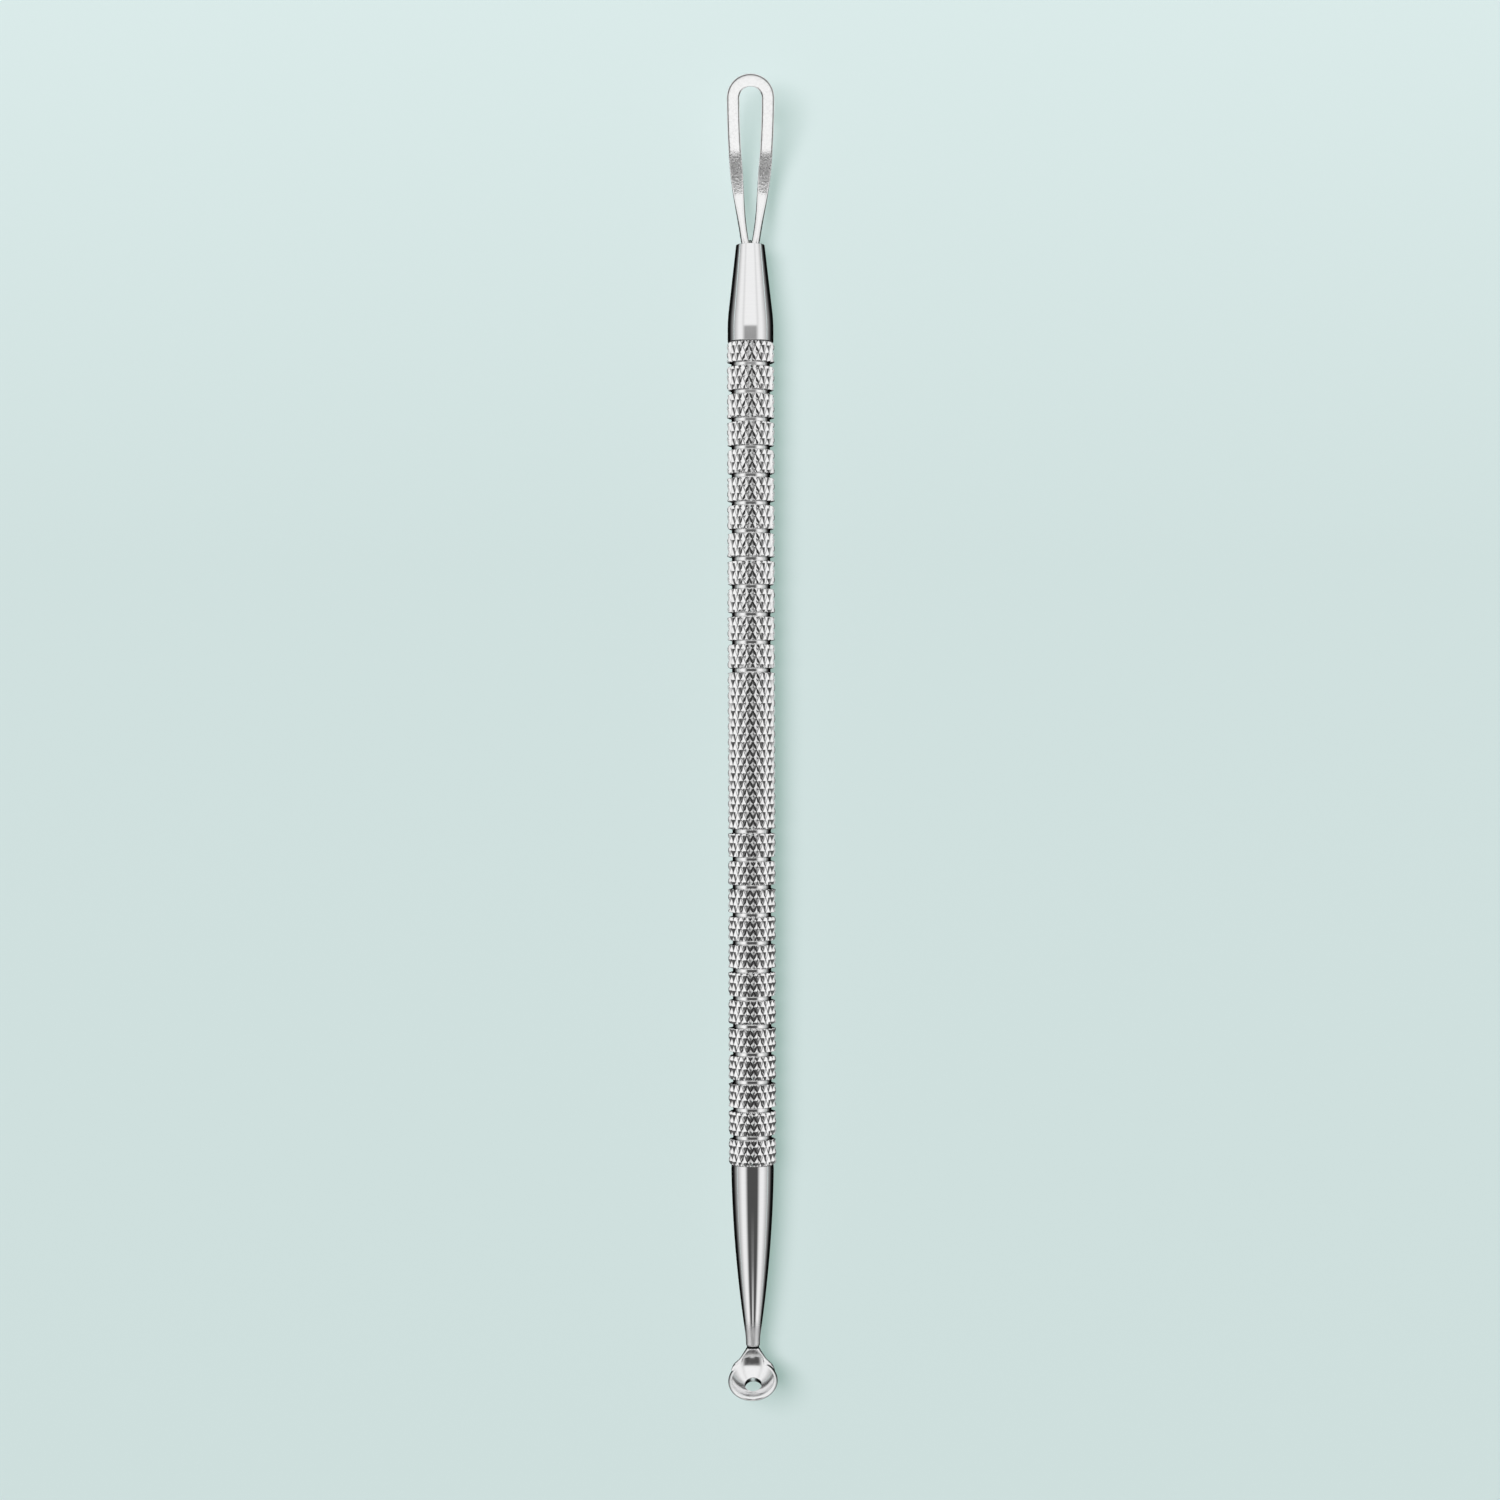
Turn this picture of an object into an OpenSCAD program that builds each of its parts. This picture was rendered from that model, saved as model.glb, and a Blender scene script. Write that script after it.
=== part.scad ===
// Double-ended blackhead extractor, in millimetres.
// A knurled handle bar carries a tapered ferrule in each end. One ferrule holds a
// flattened wire loop, the other a small pierced spoon. The tool lies along Y on a
// surface at Z = 0, with the loop at +Y and the open sides of loop and spoon up.

/* [Handle bar] */
// Diameter over the crests of the knurl
grip_d = 4.75; // [4.4:0.05:6.5]
// Length of the knurled bar
grip_len = 82.2; // [74:0.1:100]
// Length of the chamfer that starts and ends the knurl
knurl_chamfer = 0.2; // [0.1:0.05:0.4]
// Diamonds round the bar
knurl_starts = 20; // [16:1:22]
// Distance along the bar from one row of diamonds to the next
knurl_row = 0.774; // [0.7:0.002:1.2]
// Depth of the knurl below its crests
knurl_depth = 0.26; // [0.15:0.01:0.35]

/* [Ring grooves] */
// Ring grooves in each group
groove_count = 12; // [6:1:12]
// Distance from one groove to the next
groove_pitch = 2.774; // [2.3:0.002:2.9]
// Width of a groove at the crests
groove_w = 0.5; // [0.3:0.05:0.8]
// Depth of a groove below the crests
groove_depth = 0.45; // [0.35:0.01:0.6]
// From the bar's loop end to the first groove
loop_end_margin = 2.3; // [1.5:0.05:3.5]
// From the bar's spoon end to the last groove
spoon_end_margin = 2.82; // [1.5:0.05:3.5]

/* [Loop ferrule] */
// Length that shows outside the bar
loop_ferrule_len = 9.73; // [8:0.01:14]
// Step down from the crests to the ferrule's shoulder
loop_ferrule_step = 0.085; // [0.05:0.005:0.3]
// Straight land at the shoulder
loop_ferrule_land = 1.2; // [0.8:0.05:2]
// Radius of the blend from the land to the cone
loop_ferrule_blend = 17; // [10:0.5:25]
// Wall round the socket at the mouth
mouth_wall = 0.53; // [0.4:0.01:0.8]
// Rounding of the mouth's outer edge
mouth_round = 0.14; // [0.05:0.01:0.2]

/* [Spoon ferrule] */
// Length that shows outside the bar
spoon_ferrule_len = 18.17; // [16:0.01:20]
// Step down from the crests to the ferrule's shoulder
spoon_ferrule_step = 0.245; // [0.15:0.005:0.4]
// Radius of the ferrule's long convex side
ogive_radius = 125; // [100:1:180]
// Radius at the narrow tip
spoon_tip_r = 0.7; // [0.6:0.01:0.85]
// Length from where the convex side would meet the tip to the tip's end
spoon_tip_len = 0.87; // [0.7:0.01:1.5]
// Radius of the fillet that runs into the tip
spoon_tip_fillet = 8; // [4:0.5:10]

/* [Seats in the bar] */
// Diameter of the spigot that each ferrule has in the bar
spigot_d = 2.8; // [2.2:0.05:3.2]
// Length of the spigot
spigot_len = 7; // [4:0.1:12]
// Extra depth of the bore behind a spigot, shank or leg
bore_relief = 0.3; // [0.2:0.05:0.6]
// Clearance all round a spigot, shank or filler in its seat
seat_clearance = 0.02; // [0.01:0.005:0.04]

/* [Wire loop] */
// Diameter of the round wire in the legs
wire_d = 0.78; // [0.6:0.01:0.9]
// Width of the flattened strip in the head
strip_w = 1.28; // [1.1:0.01:1.5]
// Thickness of the flattened strip
strip_t = 0.38; // [0.3:0.01:0.5]
// Radius of the head along the middle of the strip
head_r = 1.73; // [1.4:0.01:2.2]
// Gap between the legs at the ferrule's mouth
leg_gap = 0.2; // [0.1:0.01:0.3]
// Spread of each leg for each millimetre out of the mouth
leg_flare = 0.165; // [0.1:0.005:0.2]
// Length of the legs from the mouth to the dip's end
leg_len = 1.2; // [0.8:0.1:2]
// Straight stretch between the dip and the upward bend
shin_len = 2.8; // [2:0.1:4]
// Length of the upward bend
bend_len = 5.2; // [4:0.1:7]
// Straight stretch from the bend to the tip
head_len = 7.95; // [7:0.05:10]
// Angle by which the legs dip below the axis
dip_angle = 5; // [0:1:8]
// Angle at which the head rises above the axis
rise_angle = 22; // [12:1:28]
// Length of the legs inside the ferrule
leg_in = 4.5; // [3:0.1:6]

/* [Loop filler] */
// Height of the filler metal above the mouth between the legs
filler_rise = 0.55; // [0.3:0.05:0.7]
// Depth of the filler metal below the mouth
filler_in = 0.2; // [0.1:0.05:0.25]

/* [Spoon] */
// Radius of the bowl's outer rim
rim_r = 2.46; // [2.2:0.01:2.8]
// Radius of the bowl's inner edge
bowl_r = 2.1; // [1.8:0.01:2.15]
// Depth of the bowl below the rim
bowl_depth = 0.88; // [0.6:0.01:1]
// Wall at the bottom of the bowl
bowl_wall = 0.64; // [0.5:0.01:0.8]
// Diameter of the hole through the bowl
hole_d = 1.66; // [1.2:0.02:2]
// Slope by which the neck runs down into the bowl, measured from the bowl's axis
bowl_flare = 15; // [8:1:18]
// Tilt of the bowl towards the handle
bowl_tilt = 50; // [42:1:56]
// From the ferrule's end to the centre of the rim, along the axis
bowl_reach = 3.02; // [2.7:0.01:3.4]
// From the axis up to the centre of the rim
bowl_rise = 1.53; // [1.3:0.01:1.8]
// Width of the neck at the ferrule
neck_w = 1.37; // [1.1:0.01:1.5]
// Thickness of the neck
neck_t = 0.62; // [0.5:0.01:0.7]
// Angle each way round the rim over which the neck spreads
neck_spread = 40; // [30:1:48]
// Diameter of the shank inside the ferrule
shank_d = 0.8; // [0.6:0.02:0.9]
// Length of the shank inside the ferrule
shank_len = 5; // [3:0.1:7]

/* [Spoon filler] */
// Thickness of the seam of filler metal between ferrule and neck
seam_t = 0.12; // [0.08:0.01:0.2]
// How far the seam is set back from the ferrule's tip
seam_setback = 0.1; // [0.05:0.01:0.15]

/* [Hidden] */

// Number of straight pieces in a turned or drilled circle
round_fn = 96;
// Number of straight pieces in a circle inside a hull
hull_fn = 24;
// Steps along a curved stretch of a turned outline
curve_steps = 10;
// Points round the wire's section
wire_sides = 12;
// Overlap that keeps a cut clean through a face
cut = 0.5;
// Overlap that joins the spoon's shank to its neck
root_overlap = 0.05;

grip_r = grip_d / 2;
valley_r = grip_r - knurl_depth;
groove_r = grip_r - groove_depth;
knurl_cols = 2 * knurl_starts;
col_angle = 360 / knurl_cols;
// The bar rests on the flat between two columns of crests
axis_z = grip_r * cos(col_angle / 2);

wire_r = wire_d / 2;
leg_x = leg_gap / 2 + wire_r;
socket_r = leg_x + wire_r + seat_clearance;
mouth_r = socket_r + mouth_wall;
spigot_r = spigot_d / 2;
shank_r = shank_d / 2;
hole_r = hole_d / 2;

// Spheres of the bowl, from the radius and the depth of each cap
function cap_radius(r, h) = (r * r + h * h) / (2 * h);
cup_depth = bowl_depth + bowl_wall;
bowl_sphere = cap_radius(bowl_r, bowl_depth);
cup_sphere = cap_radius(rim_r, cup_depth);

// The loop's side view: each stretch has a length and a turn in degrees
loop_stretches = [
    [leg_len, -dip_angle],
    [shin_len, 0],
    [bend_len, dip_angle + rise_angle],
    [head_len, 0]
];

// End of a stretch that starts at y, z with slope a
function after(y, z, a, length, turn) =
    turn == 0
        ? [y + length * cos(a), z + length * sin(a), a]
        : let (r = length * 180 / (PI * turn))
            [y + r * (sin(a + turn) - sin(a)), z + r * (cos(a) - cos(a + turn)), a + turn];

// Place and slope of the strip at distance s out of the mouth
function side_at(s, i = 0, y = 0, z = 0, a = 0) =
    s <= 0 || i >= len(loop_stretches)
        ? after(y, z, a, s, 0)
        : let (part = loop_stretches[i])
            s <= part[0]
                ? after(y, z, a, s, part[1] * s / part[0])
                : let (next = after(y, z, a, part[0], part[1]))
                    side_at(s - part[0], i + 1, next[0], next[1], next[2]);

strip_len = leg_len + shin_len + bend_len + head_len;
loop_tip = side_at(strip_len);
head_s = strip_len - strip_w / 2 - head_r;

// Places along Y, counted from the middle of the bar
bar_end = grip_len / 2;
mouth_y = bar_end + loop_ferrule_len;
tip_y = -bar_end - spoon_ferrule_len;
bowl_y = tip_y - bowl_reach;
loop_far_y = mouth_y + loop_tip[0] + strip_t / 2 * sin(rise_angle);
cup_far_y = bowl_y + (cup_sphere - cup_depth) * sin(bowl_tilt) - cup_sphere;
// The origin lies halfway between the two ends
middle_y = (loop_far_y + cup_far_y) / 2;

module in_place() {
    translate([0, -middle_y, axis_z]) children();
}

// Turns a shape that stands on Z so that it points along +Y or -Y from y
module towards_loop(y) {
    translate([0, y, 0]) rotate([-90, 0, 0]) children();
}

module towards_spoon(y) {
    translate([0, y, 0]) rotate([90, 0, 0]) children();
}

// Rings of the knurled bar, each with its y and its kind:
// 0 and 1 are the two rows of crests, 2 is a groove's bottom, 3 is the chamfered end
function band(a, b) =
    let (rows = max(1, round((b - a) / knurl_row)))
        [for (i = [0:rows]) [a + (b - a) * i / rows, i % 2]];

groove_ys = [
    for (k = [0:groove_count - 1]) -bar_end + spoon_end_margin + k * groove_pitch,
    for (k = [groove_count - 1:-1:0]) bar_end - loop_end_margin - k * groove_pitch
];

function bar_rings() =
    let (
        last = len(groove_ys) - 1,
        half = groove_w / 2
    )
        [
            [-bar_end, 3],
            each band(-bar_end + knurl_chamfer, groove_ys[0] - half),
            for (k = [0:last]) each [
                [groove_ys[k], 2],
                each band(
                    groove_ys[k] + half,
                    k < last ? groove_ys[k + 1] - half : bar_end - knurl_chamfer
                )
            ],
            [bar_end, 3]
        ];

function is_crest(kind, col) = kind < 2 && (kind + col) % 2 == 0;

function ring_radius(kind, col) =
    kind == 2 ? groove_r : is_crest(kind, col) ? grip_r : valley_r;

// The bar as rings of points; each four-sided patch is folded along its valley
module knurled_bar() {
    rings = bar_rings();
    count = len(rings);
    points = [
        for (ring = rings, col = [0:knurl_cols - 1])
            let (
                a = (col + 0.5) * col_angle,
                r = ring_radius(ring[1], col)
            )
                [r * cos(a), ring[0], r * sin(a)]
    ];
    sides = [
        for (i = [0:count - 2], col = [0:knurl_cols - 1])
            let (
                next = (col + 1) % knurl_cols,
                a = i * knurl_cols + col,
                b = i * knurl_cols + next,
                c = (i + 1) * knurl_cols + next,
                d = (i + 1) * knurl_cols + col
            )
                each is_crest(rings[i][1], col) || is_crest(rings[i + 1][1], next)
                    ? [[a, b, d], [b, c, d]]
                    : [[a, b, c], [a, c, d]]
    ];
    near_cap = [for (col = [knurl_cols - 1:-1:0]) col];
    far_cap = [for (col = [0:knurl_cols - 1]) (count - 1) * knurl_cols + col];
    polyhedron(points = points, faces = concat([near_cap], sides, [far_cap]), convexity = 4);
}

// Bore for a spigot, from the bar's end inwards
module spigot_bore() {
    translate([0, 0, -spigot_len - bore_relief])
        cylinder(r = spigot_r + seat_clearance, h = spigot_len + bore_relief + cut, $fn = round_fn);
}

module grip() {
    color("silver")
        in_place()
            difference() {
                knurled_bar();
                towards_loop(bar_end) spigot_bore();
                towards_spoon(-bar_end) spigot_bore();
            }
}

// Points of an arc about centre [r, h], from angle a to angle b
function arc(centre, radius, a, b) =
    [for (i = [0:curve_steps]) let (t = a + (b - a) * i / curve_steps)
        centre + radius * [cos(t), sin(t)]];

// The spigot's corners, common to both ferrules: from the axis out to the shoulder
spigot_outline = [
    [0, -spigot_len],
    [spigot_r, -spigot_len],
    [spigot_r, 0]
];

// Shoulder, land, blend, cone and rounded mouth
module loop_ferrule() {
    base_r = grip_r - loop_ferrule_step;
    centre = [base_r - loop_ferrule_blend, loop_ferrule_land];
    to_mouth = [mouth_r, loop_ferrule_len] - centre;
    turn = atan2(to_mouth[1], to_mouth[0]) - acos(loop_ferrule_blend / norm(to_mouth));
    lip_centre = [mouth_r - mouth_round, loop_ferrule_len - mouth_round];
    color("gainsboro")
        in_place()
            towards_loop(bar_end)
                difference() {
                    rotate_extrude($fn = round_fn)
                        polygon([
                            each spigot_outline,
                            [base_r, 0],
                            each arc(centre, loop_ferrule_blend, 0, turn),
                            each arc(lip_centre, mouth_round, turn, 90),
                            [0, loop_ferrule_len]
                        ]);
                    translate([0, 0, loop_ferrule_len - leg_in - bore_relief])
                        cylinder(r = socket_r, h = leg_in + bore_relief + cut, $fn = round_fn);
                }
}

// Shoulder, long convex side, fillet and narrow tip
module spoon_ferrule() {
    base_r = grip_r - spoon_ferrule_step;
    chord = [spoon_ferrule_len - spoon_tip_len, base_r - spoon_tip_r];
    start = atan2(chord[1], chord[0]) - asin(norm(chord) / (2 * ogive_radius));
    centre = [base_r, 0] - ogive_radius * [cos(start), sin(start)];
    fillet_r = spoon_tip_r + spoon_tip_fillet;
    reach = sqrt(pow(ogive_radius + spoon_tip_fillet, 2) - pow(fillet_r - centre[0], 2));
    fillet_centre = [fillet_r, centre[1] + reach];
    stop = atan2(reach, fillet_r - centre[0]);
    color("gainsboro")
        in_place()
            towards_spoon(-bar_end)
                difference() {
                    rotate_extrude($fn = round_fn)
                        polygon([
                            each spigot_outline,
                            each arc(centre, ogive_radius, start, stop),
                            each arc(fillet_centre, spoon_tip_fillet, 180 + stop, 180),
                            [spoon_tip_r, spoon_ferrule_len],
                            [0, spoon_ferrule_len]
                        ]);
                    translate([0, 0, spoon_ferrule_len - shank_len - bore_relief])
                        cylinder(
                            r = shank_r + seat_clearance,
                            h = shank_len + bore_relief + cut,
                            $fn = round_fn
                        );
                }
}

// Half the distance between the legs at distance s out of the mouth
function spread(s) =
    s < 0
        ? max(leg_x + leg_flare * s, wire_r + seat_clearance)
        : let (t = s / head_s)
            (2 * pow(t, 3) - 3 * pow(t, 2) + 1) * leg_x
            + (pow(t, 3) - 2 * pow(t, 2) + t) * leg_flare * head_s
            + (3 * pow(t, 2) - 2 * pow(t, 3)) * head_r;

function ease(t) = let (u = min(1, max(0, t))) u * u * (3 - 2 * u);

// How far the wire is flattened at distance s: 0 is round, 1 is the strip
function flatness(s) = ease((s - leg_len) / (shin_len + bend_len - leg_len));

// Stations along the loop, each with x, distance s and the direction in the strip
leg_steps = 26;
head_steps = 22;
slope_step = 0.01;

function leg_station(i) =
    let (
        s = i < 0 ? -leg_in : head_s * i / leg_steps,
        dx = (spread(s + slope_step) - spread(s - slope_step)) / (2 * slope_step)
    )
        [spread(s), s, dx];

legs = [
    [spread(-leg_in), -leg_in, 0],
    [spread(-leg_in), -2 * wire_d, 0],
    for (i = [0:leg_steps - 1]) leg_station(i)
];

loop_stations = [
    for (leg = legs) [-leg[0], leg[1], -leg[2], 1],
    for (i = [0:head_steps])
        let (a = 180 - 180 * i / head_steps)
            [head_r * cos(a), head_s + head_r * sin(a), sin(a), -cos(a)],
    for (i = [len(legs) - 1:-1:0]) [legs[i][0], legs[i][1], -legs[i][2], -1]
];

// One point of the wire's section at a station
function section_point(station, k) =
    let (
        place = side_at(station[1]),
        flat = flatness(station[1]),
        direction = [station[2], station[3]] / norm([station[2], station[3]]),
        a = 360 * (k + 0.5) / wire_sides,
        power = 1 - 0.45 * flat,
        half_w = wire_r + (strip_w / 2 - wire_r) * flat,
        half_t = wire_r + (strip_t / 2 - wire_r) * flat,
        across = half_w * sign(cos(a)) * pow(abs(cos(a)), power),
        up = half_t * sign(sin(a)) * pow(abs(sin(a)), power),
        along = -across * direction[0]
    )
        [
            station[0] + across * direction[1],
            mouth_y + place[0] + along * cos(place[2]) - up * sin(place[2]),
            place[1] + along * sin(place[2]) + up * cos(place[2])
        ];

module wire_loop() {
    count = len(loop_stations);
    points = [
        for (station = loop_stations, k = [0:wire_sides - 1]) section_point(station, k)
    ];
    sides = [
        for (i = [0:count - 2], k = [0:wire_sides - 1])
            let (
                next = (k + 1) % wire_sides,
                a = i * wire_sides + k,
                b = i * wire_sides + next,
                c = (i + 1) * wire_sides + next,
                d = (i + 1) * wire_sides + k
            )
                each [[a, b, c], [a, c, d]]
    ];
    near_cap = [for (k = [wire_sides - 1:-1:0]) k];
    far_cap = [for (k = [0:wire_sides - 1]) (count - 1) * wire_sides + k];
    color("whitesmoke")
        in_place()
            polyhedron(points = points, faces = concat([near_cap], sides, [far_cap]), convexity = 6);
}

// Filler metal that closes the socket round the legs and rises between them
module loop_braze() {
    filler_r = socket_r - seat_clearance;
    dome = cap_radius(filler_r, filler_rise);
    dome_angle = asin(filler_r / dome);
    color("lightgray")
        in_place()
            towards_loop(mouth_y)
                difference() {
                    rotate_extrude($fn = round_fn)
                        polygon([
                            [0, -filler_in],
                            [filler_r, -filler_in],
                            each arc([0, filler_rise - dome], dome, 90 - dome_angle, 90)
                        ]);
                    for (side = [-1, 1])
                        translate([side * leg_x, 0, 0])
                            rotate([0, side * atan(leg_flare), 0])
                                cylinder(
                                    r = wire_r + seat_clearance,
                                    h = 2 * (filler_rise + cut),
                                    center = true,
                                    $fn = round_fn
                                );
                }
}

// Puts a shape that stands on the rim's plane into the tilted bowl's place
module on_bowl() {
    translate([0, bowl_y, bowl_rise]) rotate([-bowl_tilt, 0, 0]) children();
}

// Small ball inside the rim's wall at angle a round the rim, 0 being nearest the handle
module wall_ball(a, ball_r) {
    on_bowl()
        rotate([0, 0, 90 - a])
            translate([rim_r - ball_r, 0, -ball_r])
                sphere(r = ball_r, $fn = hull_fn);
}

// Flat neck, from the seam to the bowl's wall on the side nearest the handle
module neck() {
    root_r = neck_t / 2;
    hull() {
        for (x = [-1, 1] * (neck_w / 2 - root_r))
            translate([x, 0, 0])
                towards_spoon(tip_y - seam_t)
                    cylinder(r = root_r, h = root_r, $fn = hull_fn);
        for (a = [-neck_spread, neck_spread]) wall_ball(a, bowl_wall / 3);
        wall_ball(0, bowl_wall / 2);
    }
}

module spoon() {
    cup_centre = [0, cup_sphere - cup_depth];
    cup_angle = asin(rim_r / cup_sphere);
    bowl_centre = [0, bowl_sphere - bowl_depth];
    bowl_angle = asin(bowl_r / bowl_sphere);
    color("silver")
        in_place() {
            difference() {
                union() {
                    on_bowl()
                        rotate_extrude($fn = round_fn)
                            polygon([
                                each arc(cup_centre, cup_sphere, -90, -90 + cup_angle),
                                [0, 0]
                            ]);
                    neck();
                }
                on_bowl() {
                    // The cut flares above the rim, so the neck runs down into the bowl
                    rotate_extrude($fn = round_fn)
                        polygon([
                            each arc(bowl_centre, bowl_sphere, -90, -90 + bowl_angle),
                            [bowl_r + cup_depth * tan(bowl_flare), cup_depth],
                            [0, cup_depth]
                        ]);
                    cylinder(r = hole_r, h = 2 * (cup_depth + cut), center = true, $fn = round_fn);
                }
            }
            towards_spoon(tip_y + shank_len)
                cylinder(r = shank_r, h = shank_len + seam_t + root_overlap, $fn = round_fn);
        }
}

// Seam of filler metal, set back between the ferrule's tip and the neck
module spoon_braze() {
    color("dimgray")
        in_place()
            towards_spoon(tip_y)
                difference() {
                    cylinder(r = spoon_tip_r - seam_setback, h = seam_t, $fn = round_fn);
                    translate([0, 0, -cut])
                        cylinder(r = shank_r + seat_clearance, h = seam_t + 2 * cut, $fn = round_fn);
                }
}

grip();
loop_ferrule();
spoon_ferrule();
wire_loop();
spoon();
loop_braze();
spoon_braze();
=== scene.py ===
import math

import bmesh
import bpy
import numpy as np
from mathutils import Matrix, Vector


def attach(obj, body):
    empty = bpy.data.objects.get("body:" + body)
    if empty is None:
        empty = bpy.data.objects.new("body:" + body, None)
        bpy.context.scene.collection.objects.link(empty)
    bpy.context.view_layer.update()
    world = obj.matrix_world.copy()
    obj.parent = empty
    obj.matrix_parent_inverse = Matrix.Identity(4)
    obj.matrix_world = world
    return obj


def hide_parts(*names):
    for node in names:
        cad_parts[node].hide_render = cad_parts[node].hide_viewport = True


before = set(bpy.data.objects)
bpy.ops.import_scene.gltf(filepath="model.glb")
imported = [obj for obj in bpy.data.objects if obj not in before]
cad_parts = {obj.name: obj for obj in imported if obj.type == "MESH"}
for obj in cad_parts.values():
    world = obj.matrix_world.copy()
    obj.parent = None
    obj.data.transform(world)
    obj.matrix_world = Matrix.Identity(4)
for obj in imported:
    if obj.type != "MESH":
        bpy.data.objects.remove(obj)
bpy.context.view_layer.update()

# Sizes are in millimetres and degrees, unless said. Those of the pieces are counted as in the
# construction: Y along the tool from the middle of the bar, Z up from the tool's axis. Those of
# the materials, the stage and the camera are counted in the shared frame
MM = 0.001
GRIP_R = 2.375
COLUMN_ANGLE = 9.0
AXIS_Z = GRIP_R * math.cos(math.radians(COLUMN_ANGLE / 2))
MIDDLE_Y = 1.62881
BAR_END = 41.1
LOOP_FERRULE_LEN = 9.73
SPOON_FERRULE_LEN = 18.17
MOUTH_Y = BAR_END + LOOP_FERRULE_LEN
TIP_Y = -BAR_END - SPOON_FERRULE_LEN


def to_frame(point):
    """Metres in the shared frame, from millimetres about the middle of the bar."""
    x, y, z = point
    return (x * MM, (y - MIDDLE_Y) * MM, (z + AXIS_Z) * MM)


# Mesh helpers


def add_object(name, data):
    """Object in the scene's own collection."""
    thing = bpy.data.objects.new(name, data)
    bpy.context.scene.collection.objects.link(thing)
    return thing


def finish_piece(name, mesh, nodes, material, sharp=30):
    """Smooth piece with its sharp edges kept, in place of the CAD nodes named."""
    mesh.validate()
    for polygon in mesh.polygons:
        polygon.use_smooth = True
    mesh.set_sharp_from_angle(angle=math.radians(sharp))
    piece = add_object(name, mesh)
    mesh.materials.append(material)
    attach(piece, "root")
    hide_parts(*nodes)
    return piece


def arc(centre, radius, start, end, steps=12):
    """Points of an arc about a centre, from one angle to another."""
    points = []
    for i in range(steps + 1):
        angle = math.radians(start + (end - start) * i / steps)
        points.append((centre[0] + radius * math.cos(angle), centre[1] + radius * math.sin(angle)))
    return points


def ring_point(k, sides, power):
    """Point k of a ring from -1 to 1 both ways: power 1 is a circle, and less is squarer."""
    angle = 2 * math.pi * (k + 0.5) / sides
    return [math.copysign(abs(v) ** power, v) for v in (math.cos(angle), math.sin(angle))]


def solid_mesh(name, vertices, faces):
    """Mesh with its faces turned out."""
    mesh = bpy.data.meshes.new(name)
    mesh.from_pydata(vertices, [], faces)
    bm = bmesh.new()
    bm.from_mesh(mesh)
    bmesh.ops.recalc_face_normals(bm, faces=bm.faces)
    bm.to_mesh(mesh)
    bm.free()
    return mesh


def end_faces(rings, sides):
    """The first and the last ring, each as one face."""
    last = (rings - 1) * sides
    return [tuple(range(sides)), tuple(range(last, last + sides))]


def lofted_mesh(name, vertices, sides):
    """Closed skin over the rings that the vertices make."""
    rings = len(vertices) // sides
    faces = []
    for i in range(rings - 1):
        for k in range(sides):
            n = (k + 1) % sides
            a, b = i * sides + k, i * sides + n
            faces.append((a, b, b + sides, a + sides))
    return solid_mesh(name, vertices, faces + end_faces(rings, sides))


def turned_mesh(name, outline, place, sides=180):
    """Turns an outline of radius and height about the height's line. place maps a point."""
    vertices = []
    rings = []
    for radius, height in outline:
        if radius < 1e-6:
            rings.append([len(vertices)])
            vertices.append(place((0, 0, height)))
            continue
        rings.append(list(range(len(vertices), len(vertices) + sides)))
        for k in range(sides):
            angle = 2 * math.pi * k / sides
            vertices.append(place((radius * math.cos(angle), radius * math.sin(angle), height)))
    faces = []
    for low, high in zip(rings, rings[1:]):
        for k in range(sides):
            n = (k + 1) % sides
            if len(low) == 1 and len(high) == 1:
                continue
            if len(low) == 1:
                faces.append((low[0], high[n], high[k]))
            elif len(high) == 1:
                faces.append((low[k], low[n], high[0]))
            else:
                faces.append((low[k], low[n], high[n], high[k]))
    return solid_mesh(name, vertices, faces)


def towards_loop(start):
    """Places a turned piece on the tool's axis, from start towards the loop."""
    return lambda p: to_frame((p[0], start + p[2], p[1]))


def towards_spoon(start):
    """The same, from start towards the spoon."""
    return lambda p: to_frame((p[0], start - p[2], p[1]))


# Materials


def grey(level):
    return (level, level, level)


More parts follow.
